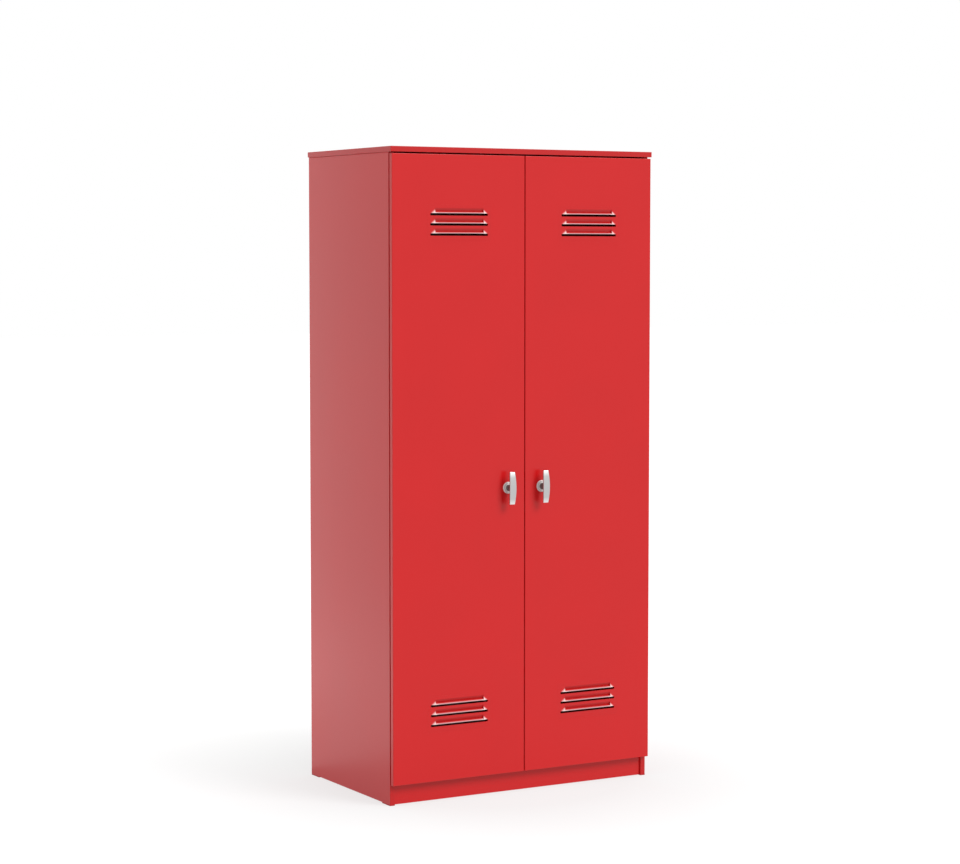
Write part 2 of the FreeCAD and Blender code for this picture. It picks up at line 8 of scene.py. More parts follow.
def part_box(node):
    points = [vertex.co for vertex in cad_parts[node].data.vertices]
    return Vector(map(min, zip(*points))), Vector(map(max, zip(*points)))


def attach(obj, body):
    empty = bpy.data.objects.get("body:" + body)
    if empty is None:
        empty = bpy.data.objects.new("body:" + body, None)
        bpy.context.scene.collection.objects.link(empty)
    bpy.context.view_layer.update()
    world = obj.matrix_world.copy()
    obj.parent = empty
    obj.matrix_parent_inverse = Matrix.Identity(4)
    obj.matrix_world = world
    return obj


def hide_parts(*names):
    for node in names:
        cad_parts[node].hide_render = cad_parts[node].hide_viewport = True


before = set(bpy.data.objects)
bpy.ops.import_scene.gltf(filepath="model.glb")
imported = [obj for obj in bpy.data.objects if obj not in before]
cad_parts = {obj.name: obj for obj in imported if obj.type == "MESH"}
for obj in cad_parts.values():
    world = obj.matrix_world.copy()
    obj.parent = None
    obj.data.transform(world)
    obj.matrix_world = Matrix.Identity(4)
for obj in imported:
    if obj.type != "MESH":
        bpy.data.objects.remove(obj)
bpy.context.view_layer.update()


# Carcass boards: top, two sides, floor, plinth and hat shelf, all 16 mm chipboard faced with red
# melamine. The resin sheet is hot-pressed against a satin plate, which leaves a fine pearl and a
# soft sheen. Cut edges that show carry a 1 mm plastic band, a touch deeper and duller.
def linear(code):
    """An sRGB hex colour as linear RGBA."""
    parts = [int(code[i:i + 2], 16) / 255 for i in (0, 2, 4)]
    return (*[p / 12.92 if p <= 0.04045 else ((p + 0.055) / 1.055) ** 2.4 for p in parts], 1.0)


def add(tree, kind, values=None, links=None, **settings):
    """One node with its settings, its fixed values and its links.

    Sockets go by name, or by number where a node repeats a name. In a Mix node 0 is the factor,
    2 and 3 are the numbers and 6 and 7 the colours between which it mixes.
    """
    made = tree.nodes.new(kind)
    for name, value in settings.items():
        setattr(made, name, value)
    for socket, value in (values or {}).items():
        made.inputs[socket].default_value = value
    for socket, source in (links or {}).items():
        tree.links.new(source, made.inputs[socket])
    return made


def new_material(name):
    """An empty node material, its tree and its Object coordinates."""
    material = bpy.data.materials.new(name)
    material.use_nodes = True
    tree = material.node_tree
    tree.nodes.clear()
    return material, tree, add(tree, "ShaderNodeTexCoord").outputs["Object"]


def dress(material, *names):
    """Gives CAD pieces their finish."""
    for name in names:
        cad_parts[name].material_slots[0].material = material


def melamine_board(name, bands):
    """Red melamine, with plastic bands beyond each (axis, place in metres, side)."""
    cloud_size = 0.30
    # The pressed pearl is 0.3 mm across; it is drawn at 2.5 mm so that it shows.
    pearl_size, pearl_depth = 0.0025, 0.00002
    band_rough = 0.38
    material, tree, place = new_material(name)
    cloud = add(tree, "ShaderNodeTexNoise", {"Scale": 1 / cloud_size, "Detail": 2.0},
                {"Vector": place}).outputs[0]
    pearl = add(tree, "ShaderNodeTexNoise", {"Scale": 1 / pearl_size, "Detail": 1.0},
                {"Vector": place}).outputs[0]
    tint = add(tree, "ShaderNodeMix", {6: linear("CB0C0F"), 7: linear("D30E12")}, {0: cloud},
               data_type="RGBA").outputs[2]
    pearl_rough = add(tree, "ShaderNodeMapRange", {"To Min": -0.02, "To Max": 0.02},
                      {"Value": pearl}).outputs[0]
    cloud_rough = add(tree, "ShaderNodeMapRange", {"To Min": 0.30, "To Max": 0.36},
                      {"Value": cloud}).outputs[0]
    rough = add(tree, "ShaderNodeMath", links={0: cloud_rough, 1: pearl_rough},
                operation="ADD").outputs[0]
    axes = add(tree, "ShaderNodeSeparateXYZ", links={0: place}).outputs
    for axis, edge, side in bands:
        beyond = "LESS_THAN" if side < 0 else "GREATER_THAN"
        covered = add(tree, "ShaderNodeMath", {1: edge}, {0: axes[axis]},
                      operation=beyond).outputs[0]
        tint = add(tree, "ShaderNodeMix", {7: linear("C40B0E")}, {0: covered, 6: tint},
                   data_type="RGBA").outputs[2]
        rough = add(tree, "ShaderNodeMix", {3: band_rough}, {0: covered, 2: rough}).outputs[0]
    bump = add(tree, "ShaderNodeBump", {"Strength": 0.5, "Distance": pearl_depth},
               {"Height": pearl}).outputs[0]
    shader = add(tree, "ShaderNodeBsdfPrincipled", {"IOR": 1.47},
                 {"Base Color": tint, "Roughness": rough, "Normal": bump}).outputs[0]
    add(tree, "ShaderNodeOutputMaterial", links={0: shader})
    return material


band = 0.001
top_low, top_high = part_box("top_panel")
side_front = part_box("left_side_panel")[0].y
shelf_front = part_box("hat_shelf")[0].y
top_bands = [(0, top_low.x + band, -1), (0, top_high.x - band, 1), (1, top_low.y + band, -1)]
dress(melamine_board("red_melamine_top", top_bands), "top_panel")
dress(melamine_board("red_melamine_sides", [(1, side_front + band, -1)]),
      "left_side_panel", "right_side_panel", "bottom_panel")
dress(melamine_board("red_melamine_shelf", [(1, shelf_front + band, -1)]), "hat_shelf")
dress(melamine_board("red_melamine_plinth", []), "front_plinth")


# Knock-down fittings that hold the boards: fluted beech dowels, zinc-plated bolts screwed into one
# board, and die-cast cams turned in the other board until they pull the bolt tight.
# Beech is pale and matt, with fibres along the dowel. They are 0.2 mm thick; they are drawn at
# 0.8 mm so that they show.
fibre_length, fibre_size, fibre_depth = 0.020, 0.0008, 0.0001
beech, tree, place = new_material("fluted_beech")
stretched = add(tree, "ShaderNodeMapping",
                {"Scale": (1 / fibre_length, 1 / fibre_size, 1 / fibre_size)},
                {0: place}).outputs[0]
fibre = add(tree, "ShaderNodeTexNoise", {"Scale": 1.0, "Detail": 3.0},
            {"Vector": stretched}).outputs[0]
tint = add(tree, "ShaderNodeMix", {6: linear("B98C58"), 7: linear("DDBB86")}, {0: fibre},
           data_type="RGBA").outputs[2]
bump = add(tree, "ShaderNodeBump", {"Strength": 0.4, "Distance": fibre_depth},
           {"Height": fibre}).outputs[0]
shader = add(tree, "ShaderNodeBsdfPrincipled", {"Roughness": 0.65, "IOR": 1.5},
             {"Base Color": tint, "Normal": bump}).outputs[0]
add(tree, "ShaderNodeOutputMaterial", links={0: shader})
dress(beech, "wooden_dowels")


def bare_metal(name, dark, light, smooth, dull, grain, relief):
    """A plated or cast metal: mottled between two tones, with roughness and relief of one grain."""
    material, tree, place = new_material(name)
    mottle = add(tree, "ShaderNodeTexNoise", {"Scale": 1 / grain, "Detail": 3.0},
                 {"Vector": place}).outputs[0]
    tint = add(tree, "ShaderNodeMix", {6: linear(dark), 7: linear(light)}, {0: mottle},
               data_type="RGBA").outputs[2]
    rough = add(tree, "ShaderNodeMapRange", {"To Min": smooth, "To Max": dull},
                {"Value": mottle}).outputs[0]
    bump = add(tree, "ShaderNodeBump", {"Strength": 0.5, "Distance": relief},
               {"Height": mottle}).outputs[0]
    shader = add(tree, "ShaderNodeBsdfPrincipled", {"Metallic": 1.0},
                 {"Base Color": tint, "Roughness": rough, "Normal": bump}).outputs[0]
    add(tree, "ShaderNodeOutputMaterial", links={0: shader})
    return material


# Bright zinc plating is cool and faintly cloudy; a plain die casting is greyer and grainier.
zinc_plate = bare_metal("zinc_plated_steel", "A9AEB4", "CDD1D5", smooth=0.24, dull=0.38,
                        grain=0.004, relief=0.00001)
zinc_cast = bare_metal("zinc_die_casting", "8C8F92", "ABADAF", smooth=0.40, dull=0.55,
                       grain=0.0015, relief=0.00003)
dress(zinc_plate, "cam_bolts")
dress(zinc_cast, "cam_locks")


# The back: two halves of 3 mm hardboard standing in grooves, joined by an extruded strip with an H
# section. The inner face is roller-painted pale grey; the rear face is bare brown fibre that keeps
# the print of the wire screen it was pressed on.
back_low, back_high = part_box("left_back_panel")
fibre_size, cloud_size = 0.004, 0.25
bare_rough, press_depth, fibre_share = 0.82, 0.0003, 0.3
# The wire screen has a 1.5 mm mesh; it is drawn at 6 mm so that it shows.
screen_mesh = 0.006
hardboard, tree, place = new_material("painted_hardboard")
axes = add(tree, "ShaderNodeSeparateXYZ", links={0: place}).outputs
rear = add(tree, "ShaderNodeMath", {1: (back_low.y + back_high.y) / 2}, {0: axes[1]},
           operation="GREATER_THAN").outputs[0]
fibre = add(tree, "ShaderNodeTexNoise", {"Scale": 1 / fibre_size, "Detail": 5.0},
            {"Vector": place}).outputs[0]
cloud = add(tree, "ShaderNodeTexNoise", {"Scale": 1 / cloud_size, "Detail": 2.0},
            {"Vector": place}).outputs[0]
wires = []
for axis in (0, 2):
    phase = add(tree, "ShaderNodeMath", {1: 2 * math.pi / screen_mesh}, {0: axes[axis]},
                operation="MULTIPLY").outputs[0]
    wires.append(add(tree, "ShaderNodeMath", links={0: phase}, operation="SINE").outputs[0])
mesh_print = add(tree, "ShaderNodeMath", links={0: wires[0], 1: wires[1]},
                 operation="MULTIPLY").outputs[0]
brown = add(tree, "ShaderNodeMix", {6: linear("7C5836"), 7: linear("A27A50")}, {0: fibre},
            data_type="RGBA").outputs[2]
aged = add(tree, "ShaderNodeMix", {7: linear("8A6440")}, {0: cloud, 6: brown},
           data_type="RGBA").outputs[2]
paint = add(tree, "ShaderNodeMix", {6: linear("D6D4CE"), 7: linear("DFDDD8")}, {0: cloud},
            data_type="RGBA").outputs[2]
tint = add(tree, "ShaderNodeMix", links={0: rear, 6: paint, 7: aged}, data_type="RGBA").outputs[2]
paint_rough = add(tree, "ShaderNodeMapRange", {"To Min": 0.44, "To Max": 0.52},
                  {"Value": cloud}).outputs[0]
rough = add(tree, "ShaderNodeMix", {3: bare_rough}, {0: rear, 2: paint_rough}).outputs[0]
pressed = add(tree, "ShaderNodeMath", links={0: mesh_print, 1: rear},
              operation="MULTIPLY").outputs[0]
printed = add(tree, "ShaderNodeMath", links={0: fibre, 1: pressed},
              operation="MULTIPLY").outputs[0]
relief = add(tree, "ShaderNodeMath", {1: fibre_share}, {0: fibre, 2: printed},
             operation="MULTIPLY_ADD").outputs[0]
bump = add(tree, "ShaderNodeBump", {"Strength": 0.6, "Distance": press_depth},
           {"Height": relief}).outputs[0]
shader = add(tree, "ShaderNodeBsdfPrincipled", {"IOR": 1.48},
             {"Base Color": tint, "Roughness": rough, "Normal": bump}).outputs[0]
add(tree, "ShaderNodeOutputMaterial", links={0: shader})
dress(hardboard, "left_back_panel", "right_back_panel")

# Extruded plastic shows faint die lines along its length.
line_size, line_length, line_depth = 0.0012, 0.40, 0.00003
strip, tree, place = new_material("extruded_grey_plastic")
drawn = add(tree, "ShaderNodeMapping",
            {"Scale": (1 / line_size, 1 / line_size, 1 / line_length)}, {0: place}).outputs[0]
lines = add(tree, "ShaderNodeTexNoise", {"Scale": 1.0, "Detail": 2.0}, {"Vector": drawn}).outputs[0]
tint = add(tree, "ShaderNodeMix", {6: linear("D2D0CB"), 7: linear("E0DEDA")}, {0: lines},
           data_type="RGBA").outputs[2]
rough = add(tree, "ShaderNodeMapRange", {"To Min": 0.34, "To Max": 0.46},
            {"Value": lines}).outputs[0]
bump = add(tree, "ShaderNodeBump", {"Strength": 0.5, "Distance": line_depth},
           {"Height": lines}).outputs[0]
shader = add(tree, "ShaderNodeBsdfPrincipled", {"IOR": 1.53},
             {"Base Color": tint, "Roughness": rough, "Normal": bump}).outputs[0]
add(tree, "ShaderNodeOutputMaterial", links={0: shader})
dress(strip, "back_joining_strip")


# Foot glides: four moulded plastic feet with pegs, pushed up into the side panels. The mould was
# spark-eroded, so they have an even fine grain and little gloss.
# The grain is 0.1 mm across; it is drawn at 0.9 mm so that it shows.
grain_size, grain_depth = 0.0009, 0.00006
glide_plastic, tree, place = new_material("moulded_red_plastic")
grain = add(tree, "ShaderNodeTexNoise", {"Scale": 1 / grain_size, "Detail": 2.0},
            {"Vector": place}).outputs[0]
tint = add(tree, "ShaderNodeMix", {6: linear("A80C0F"), 7: linear("B81014")}, {0: grain},
           data_type="RGBA").outputs[2]
rough = add(tree, "ShaderNodeMapRange", {"To Min": 0.42, "To Max": 0.56},
            {"Value": grain}).outputs[0]
bump = add(tree, "ShaderNodeBump", {"Strength": 0.6, "Distance": grain_depth},
           {"Height": grain}).outputs[0]
shader = add(tree, "ShaderNodeBsdfPrincipled", {"IOR": 1.49},
             {"Base Color": tint, "Roughness": rough, "Normal": bump}).outputs[0]
add(tree, "ShaderNodeOutputMaterial", links={0: shader})
dress(glide_plastic, "foot_glides")


# Hanging rail: an oval welded tube, drawn, polished and chromed, resting in two cast sockets.
# Hanger hooks have left short scuffs along the top; the rest keeps faint polishing lines.
rail_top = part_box("hanging_rail")[1].z
crest_depth = 0.006
# Polishing lines are 0.1 mm apart; they are drawn at 0.7 mm so that they show.
line_size, line_length, line_depth = 0.0007, 0.08, 0.000006
scuff_width, scuff_length, scuff_rough = 0.0012, 0.006, 0.38
scuff_from, scuff_full = 0.60, 0.75
chrome, tree, place = new_material("chromed_steel_tube")
height = add(tree, "ShaderNodeSeparateXYZ", links={0: place}).outputs[2]
drawn = add(tree, "ShaderNodeMapping",
            {"Scale": (1 / line_length, 1 / line_size, 1 / line_size)}, {0: place}).outputs[0]
lines = add(tree, "ShaderNodeTexNoise", {"Scale": 1.0, "Detail": 2.0}, {"Vector": drawn}).outputs[0]
across = add(tree, "ShaderNodeMapping",
             {"Scale": (1 / scuff_width, 1 / scuff_length, 1 / scuff_length)},
             {0: place}).outputs[0]
scuffs = add(tree, "ShaderNodeTexNoise", {"Scale": 1.0, "Detail": 2.0},
             {"Vector": across}).outputs[0]
scuffed = add(tree, "ShaderNodeMapRange", {"From Min": scuff_from, "From Max": scuff_full},
              {"Value": scuffs}).outputs[0]
crest = add(tree, "ShaderNodeMapRange", {"From Min": rail_top - crest_depth, "From Max": rail_top},
            {"Value": height}).outputs[0]
worn = add(tree, "ShaderNodeMath", links={0: scuffed, 1: crest}, operation="MULTIPLY").outputs[0]
polish = add(tree, "ShaderNodeMapRange", {"To Min": 0.06, "To Max": 0.14},
             {"Value": lines}).outputs[0]
rough = add(tree, "ShaderNodeMix", {3: scuff_rough}, {0: worn, 2: polish}).outputs[0]
tint = add(tree, "ShaderNodeMix", {6: linear("DDE0E3"), 7: linear("C3C6C9")}, {0: worn},
           data_type="RGBA").outputs[2]
bump = add(tree, "ShaderNodeBump", {"Strength": 0.3, "Distance": line_depth},
           {"Height": lines}).outputs[0]
shader = add(tree, "ShaderNodeBsdfPrincipled", {"Metallic": 1.0},
             {"Base Color": tint, "Roughness": rough, "Normal": bump}).outputs[0]
add(tree, "ShaderNodeOutputMaterial", links={0: shader})
dress(chrome, "hanging_rail")
dress(zinc_cast, "rail_sockets")


# Wall brackets: two angles folded from zinc-plated steel strip and screwed up into the underside
# of the top. A screw through each, and through the back, holds the locker to the wall.
dress(zinc_plate, "wall_brackets")


# Concealed hinges: pressed and nickel-plated steel. The arm lies on a plate screwed to the side and
# turns on a pin in a cup that is let into the door. Nickel is a little warmer than zinc plating.
nickel_plate = bare_metal("nickel_plated_steel", "B5B0A8", "D2CEC6", smooth=0.18, dull=0.30,
                          grain=0.003, relief=0.000008)
dress(nickel_plate, "hinge_mounting_plates", "hinge_arms", "left_hinge_cups", "right_hinge_cups",
      "left_hinge_pins", "right_hinge_pins")


# Screws: zinc-plated, with domed heads and a cross recess, each turned home to its own angle.
# They hold the rail sockets, brackets, hinge plates, arms and cups, and the handles from inside.
def solids_of(node):
    """The boxes of the separate solids in a CAD node."""
    probe = bmesh.new()
    probe.from_mesh(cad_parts[node].data)
    bmesh.ops.remove_doubles(probe, verts=probe.verts, dist=1e-6)
    waiting = set(probe.verts)
    boxes = []
    while waiting:
        island = [waiting.pop()]
        for vert in island:
            found = {e.other_vert(vert) for e in vert.link_edges} & waiting
            waiting -= found
            island.extend(found)
        spread = [sorted(v.co[i] for v in island) for i in range(3)]
        boxes.append((Vector([s[0] for s in spread]), Vector([s[-1] for s in spread])))
    probe.free()
    return sorted(boxes, key=lambda b: tuple(round(c, 4) for c in b[0]))


def screw_blank(head_radius, head, length):
    """One screw along Z with the underside of its head at the origin."""
    # The domed head as shares of its radius and height, from the flat round the recess to the rim.
    dome = [(0.62, 1.0), (0.80, 0.93), (0.94, 0.72), (1.0, 0.40), (1.0, 0.0)]
    shank, point = 0.5 * head_radius, head_radius
    recess_half, recess_corner = 0.5 * head_radius, 0.2 * head_radius
    recess_depth, recess_taper = 1.1 * head, 0.7
    made = bmesh.new()
    outline = [(r * head_radius, z * head) for r, z in dome]
    outline += [(shank, 0), (shank, point - length), (0, -length)]
    verts = [made.verts.new((r, 0, z)) for r, z in outline]
    edges = [made.edges.new(pair) for pair in zip(verts, verts[1:])]
    bmesh.ops.spin(made, geom=verts + edges, cent=(0, 0, 0), axis=(0, 0, 1), dvec=(0, 0, 0),
                   angle=2 * math.pi, steps=24, use_merge=True, use_duplicate=False)
    bmesh.ops.remove_doubles(made, verts=made.verts, dist=1e-7)
    ring = [e for e in made.edges if e.is_boundary]
    cross = bmesh.ops.create_grid(made, x_segments=3, y_segments=3, size=recess_half,
                                  matrix=Matrix.Translation((0, 0, head)))["verts"]
    tiles = list(dict.fromkeys(f for v in cross for f in v.link_faces))
    corners = [f for f in tiles
               if min(abs(c) for c in f.calc_center_median()[:2]) > recess_corner]
    bmesh.ops.delete(made, geom=corners, context="FACES")
    tiles = [f for f in tiles if f.is_valid]
    edge_loop = [e for f in tiles for e in f.edges if e.is_boundary]
    sunk = bmesh.ops.extrude_face_region(made, geom=tiles)["geom"]
    bmesh.ops.delete(made, geom=tiles, context="FACES_ONLY")
    floor_verts = [g for g in sunk if isinstance(g, bmesh.types.BMVert)]
    bmesh.ops.translate(made, verts=floor_verts, vec=(0, 0, -recess_depth))
    bmesh.ops.scale(made, verts=floor_verts, vec=(recess_taper, recess_taper, 1.0))
    bmesh.ops.bridge_loops(made, edges=ring + edge_loop)
    bmesh.ops.recalc_face_normals(made, faces=made.faces)
    blank = bpy.data.meshes.new("screw_blank")
    made.to_mesh(blank)
    made.free()
    return blank


def cross_screws(node, body, facing, head):
    """Screws that stand for a CAD node, with heads of one height and each facing its way out."""
    turn_step, crease = 0.7, math.radians(40)
    made = bmesh.new()
    for count, (low, high) in enumerate(solids_of(node)):
        middle = (low + high) / 2
        away = Vector(facing(middle))
        axis = max(range(3), key=lambda i: abs(away[i]))
        length = high[axis] - low[axis] - head
        blank = screw_blank((high - low)[(axis + 1) % 3] / 2, head, length)
        seat = middle.copy()
        seat[axis] = high[axis] - head if away[axis] > 0 else low[axis] + head
        first = len(made.verts)
        made.from_mesh(blank)
        made.verts.ensure_lookup_table()
        turned = (away.to_track_quat("Z", "Y").to_matrix().to_4x4()
                  @ Matrix.Rotation(turn_step * count, 4, "Z"))
        bmesh.ops.transform(made, matrix=Matrix.Translation(seat) @ turned,
                            verts=made.verts[first:])
        bpy.data.meshes.remove(blank)
    mesh = bpy.data.meshes.new(node + "_cross")
    made.to_mesh(mesh)
    made.free()
    mesh.shade_smooth()
    mesh.set_sharp_from_angle(angle=crease)
    mesh.materials.append(zinc_plate)
    piece = bpy.data.objects.new(node + "_cross", mesh)
    bpy.context.scene.collection.objects.link(piece)
    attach(piece, body)
    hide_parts(node)


def inwards(place):
    """From a side panel towards the middle of the locker."""
    return (-math.copysign(1, place.x), 0, 0)


wood_head, euro_head, handle_head = 0.0012, 0.0015, 0.0023
cross_screws("rail_socket_screws", "carcass", inwards, wood_head)
cross_screws("wall_bracket_screws", "carcass", lambda place: (0, 0, -1), wood_head)
cross_screws("hinge_plate_screws", "carcass", inwards, euro_head)
cross_screws("hinge_arm_screws", "carcass", inwards, euro_head)
for hand in ("left", "right"):
    cross_screws(hand + "_hinge_cup_screws", hand + "_door", lambda place: (0, 1, 0), wood_head)
    cross_screws(hand + "_handle_screw", hand + "_door", lambda place: (0, 1, 0), handle_head)


# Doors: 16 mm MDF with rounded edges, sprayed all over in satin red lacquer and hung on the hinge
# cups. The sprayed coat has a faint orange peel, and hands have left it slightly glossier round
# each handle.
grip_low, grip_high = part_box("right_handle_grip")
grip_centre = [abs(c) for c in (grip_low + grip_high) / 2]
cloud_size = 0.25
# The peel is 1 to 2 mm across; it is drawn at 4 mm so that it shows.
peel_size, peel_depth = 0.004, 0.00002
hand_reach, hand_core, hand_polish = 0.16, 0.04, 0.05
lacquer, tree, place = new_material("satin_red_lacquer")
cloud = add(tree, "ShaderNodeTexNoise", {"Scale": 1 / cloud_size, "Detail": 2.0},
            {"Vector": place}).outputs[0]
peel = add(tree, "ShaderNodeTexNoise", {"Scale": 1 / peel_size, "Detail": 1.0},
           {"Vector": place}).outputs[0]
tint = add(tree, "ShaderNodeMix", {6: linear("CD0C0F"), 7: linear("D50E12")}, {0: cloud},
           data_type="RGBA").outputs[2]
sprayed = add(tree, "ShaderNodeMapRange", {"To Min": 0.32, "To Max": 0.40},
              {"Value": cloud}).outputs[0]
folded = add(tree, "ShaderNodeVectorMath", links={0: place}, operation="ABSOLUTE").outputs[0]
near = add(tree, "ShaderNodeVectorMath", {1: grip_centre}, {0: folded},
           operation="DISTANCE").outputs[1]
touched = add(tree, "ShaderNodeMapRange", {"From Min": hand_reach, "From Max": hand_core,
                                           "To Min": 0.0, "To Max": -hand_polish},
              {"Value": near}).outputs[0]
rough = add(tree, "ShaderNodeMath", links={0: sprayed, 1: touched}, operation="ADD").outputs[0]
bump = add(tree, "ShaderNodeBump", {"Strength": 0.5, "Distance": peel_depth},
           {"Height": peel}).outputs[0]
shader = add(tree, "ShaderNodeBsdfPrincipled", {"IOR": 1.47},
             {"Base Color": tint, "Roughness": rough, "Normal": bump}).outputs[0]
add(tree, "ShaderNodeOutputMaterial", links={0: shader})
dress(lacquer, "left_door_panel", "right_door_panel")


# Vents: 1.2 mm steel plates pressed into three louvres, let into the doors and powder-coated in
# their red. The dished faces carry a painted shade, a darker red, and the upper faces of lips and
# drawn ends carry a painted highlight, pale pink and whiter towards the ends. The peel is 2 mm
# across.
vent_low, vent_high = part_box("right_upper_vent")
louvre_reach, louvre_straight = 0.0045, 0.082
plate_face = vent_low.y + louvre_reach
lip_start, lip_full = 0.0003, 0.0025
dish_start, dish_full = 0.0002, 0.0012
end_fade = 0.012
facing_down, facing_level = -0.4, -0.1
peel_size, peel_depth = 0.0020, 0.00002
coat, tree, place = new_material("red_powder_coat")
axes = add(tree, "ShaderNodeSeparateXYZ", links={0: place}).outputs
peel = add(tree, "ShaderNodeTexNoise", {"Scale": 1 / peel_size, "Detail": 1.0},
           {"Vector": place}).outputs[0]
drawn = add(tree, "ShaderNodeMapRange",
            {"From Min": plate_face - lip_start, "From Max": plate_face - lip_full},
            {"Value": axes[1]}).outputs[0]
normal = add(tree, "ShaderNodeNewGeometry").outputs["Normal"]
upright = add(tree, "ShaderNodeSeparateXYZ", links={0: normal}).outputs[2]
outside = add(tree, "ShaderNodeMapRange", {"From Min": facing_down, "From Max": facing_level},
              {"Value": upright}).outputs[0]
# Painted highlight: the upper faces of lips and drawn ends are painted pale pink, not their
# undersides.
highlight_mask = add(tree, "ShaderNodeMath", links={0: drawn, 1: outside}, operation="MULTIPLY").outputs[0]
across = add(tree, "ShaderNodeMath", links={0: axes[0]}, operation="ABSOLUTE").outputs[0]
from_middle = add(tree, "ShaderNodeMath", {1: (vent_low.x + vent_high.x) / 2}, {0: across},
                  operation="SUBTRACT").outputs[0]
along = add(tree, "ShaderNodeMath", links={0: from_middle}, operation="ABSOLUTE").outputs[0]
end = add(tree, "ShaderNodeMapRange",
          {"From Min": louvre_straight - end_fade, "From Max": louvre_straight},
          {"Value": along}).outputs[0]
# The painted highlight's two tones: pale pink along the lips, near white towards the louvre ends.
painted_highlight = add(tree, "ShaderNodeMix", {6: linear("D8A9AB"), 7: linear("FBD8D6")}, {0: end},
             data_type="RGBA").outputs[2]
tint = add(tree, "ShaderNodeMix", {6: linear("CD0C0F"), 7: linear("D30F13")}, {0: peel},
           data_type="RGBA").outputs[2]
# Painted shade: the dished faces are painted a darker red than the coat.
dish_shade_mask = add(tree, "ShaderNodeMapRange",
             {"From Min": plate_face + dish_start, "From Max": plate_face + dish_full},
             {"Value": axes[1]}).outputs[0]
shaded_dish = add(tree, "ShaderNodeMix", {7: linear("BE0A0D")}, {0: dish_shade_mask, 6: tint},
             data_type="RGBA").outputs[2]
shown = add(tree, "ShaderNodeMix", links={0: highlight_mask, 6: shaded_dish, 7: painted_highlight},
            data_type="RGBA").outputs[2]
rough = add(tree, "ShaderNodeMapRange", {"To Min": 0.30, "To Max": 0.40},
            {"Value": peel}).outputs[0]
bump = add(tree, "ShaderNodeBump", {"Strength": 0.5, "Distance": peel_depth},
           {"Height": peel}).outputs[0]
shader = add(tree, "ShaderNodeBsdfPrincipled", {"IOR": 1.47},
             {"Base Color": shown, "Roughness": rough, "Normal": bump}).outputs[0]
add(tree, "ShaderNodeOutputMaterial", links={0: shader})
dress(coat, "left_upper_vent", "left_lower_vent", "right_upper_vent", "right_lower_vent")


# Handles: a leaf-shaped grip on a turned post, which a screw holds from inside the door. The grip is
# die cast, nickel-plated and brushed lengthwise to a satin, which leaves fine upright lines. A
# painted highlight makes it paler towards the bowed ends.
grip_middle, grip_half = (grip_low.z + grip_high.z) / 2, (grip_high.z - grip_low.z) / 2
highlight_from = 0.65 * grip_half
# Brush lines are 0.1 mm apart; they are drawn at 0.6 mm so that they show.
line_size, line_length, line_depth = 0.0006, 0.030, 0.00001
satin, tree, place = new_material("satin_brushed_nickel")
brushed = add(tree, "ShaderNodeMapping",
              {"Scale": (1 / line_size, 1 / line_size, 1 / line_length)}, {0: place}).outputs[0]
lines = add(tree, "ShaderNodeTexNoise", {"Scale": 1.0, "Detail": 2.0},
            {"Vector": brushed}).outputs[0]
plated = add(tree, "ShaderNodeMix", {6: linear("AFAEAE"), 7: linear("BFBEBE")}, {0: lines},
             data_type="RGBA").outputs[2]
height = add(tree, "ShaderNodeSeparateXYZ", links={0: place}).outputs[2]
above = add(tree, "ShaderNodeMath", {1: grip_middle}, {0: height}, operation="SUBTRACT").outputs[0]
from_post = add(tree, "ShaderNodeMath", links={0: above}, operation="ABSOLUTE").outputs[0]
# Painted highlight: the grip is painted paler towards both ends.
end_highlight = add(tree, "ShaderNodeMapRange", {"From Min": highlight_from, "From Max": grip_half},
               {"Value": from_post}).outputs[0]
tint = add(tree, "ShaderNodeMix", {7: linear("E0DEDD")}, {0: end_highlight, 6: plated},
           data_type="RGBA").outputs[2]
rough = add(tree, "ShaderNodeMapRange", {"To Min": 0.30, "To Max": 0.42},
            {"Value": lines}).outputs[0]
bump = add(tree, "ShaderNodeBump", {"Strength": 0.5, "Distance": line_depth},
           {"Height": lines}).outputs[0]
shader = add(tree, "ShaderNodeBsdfPrincipled", {"Metallic": 1.0},
             {"Base Color": tint, "Roughness": rough, "Normal": bump}).outputs[0]
add(tree, "ShaderNodeOutputMaterial", links={0: shader})
dress(satin, "left_handle_grip", "right_handle_grip")

# The post is turned from one bar with its rosette and lacquered matt. The rosette is pale; the neck
# behind the grip carries a painted shade, dark grey, and both show the tool's fine rings.
rosette = 0.004
rosette_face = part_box("right_handle_post")[1].y - rosette
neck_start, neck_full = 0.0005, 0.0015
# The tool's rings are 0.1 mm apart; they are drawn at 0.8 mm so that they show.
ring_size, ring_spread, ring_depth = 0.0008, 0.02, 0.00001
post_metal, tree, place = new_material("lacquered_turned_zinc")
axes = add(tree, "ShaderNodeSeparateXYZ", links={0: place}).outputs
ringed = add(tree, "ShaderNodeMapping",
             {"Scale": (1 / ring_spread, 1 / ring_size, 1 / ring_spread)}, {0: place}).outputs[0]
rings = add(tree, "ShaderNodeTexNoise", {"Scale": 1.0, "Detail": 2.0},
            {"Vector": ringed}).outputs[0]
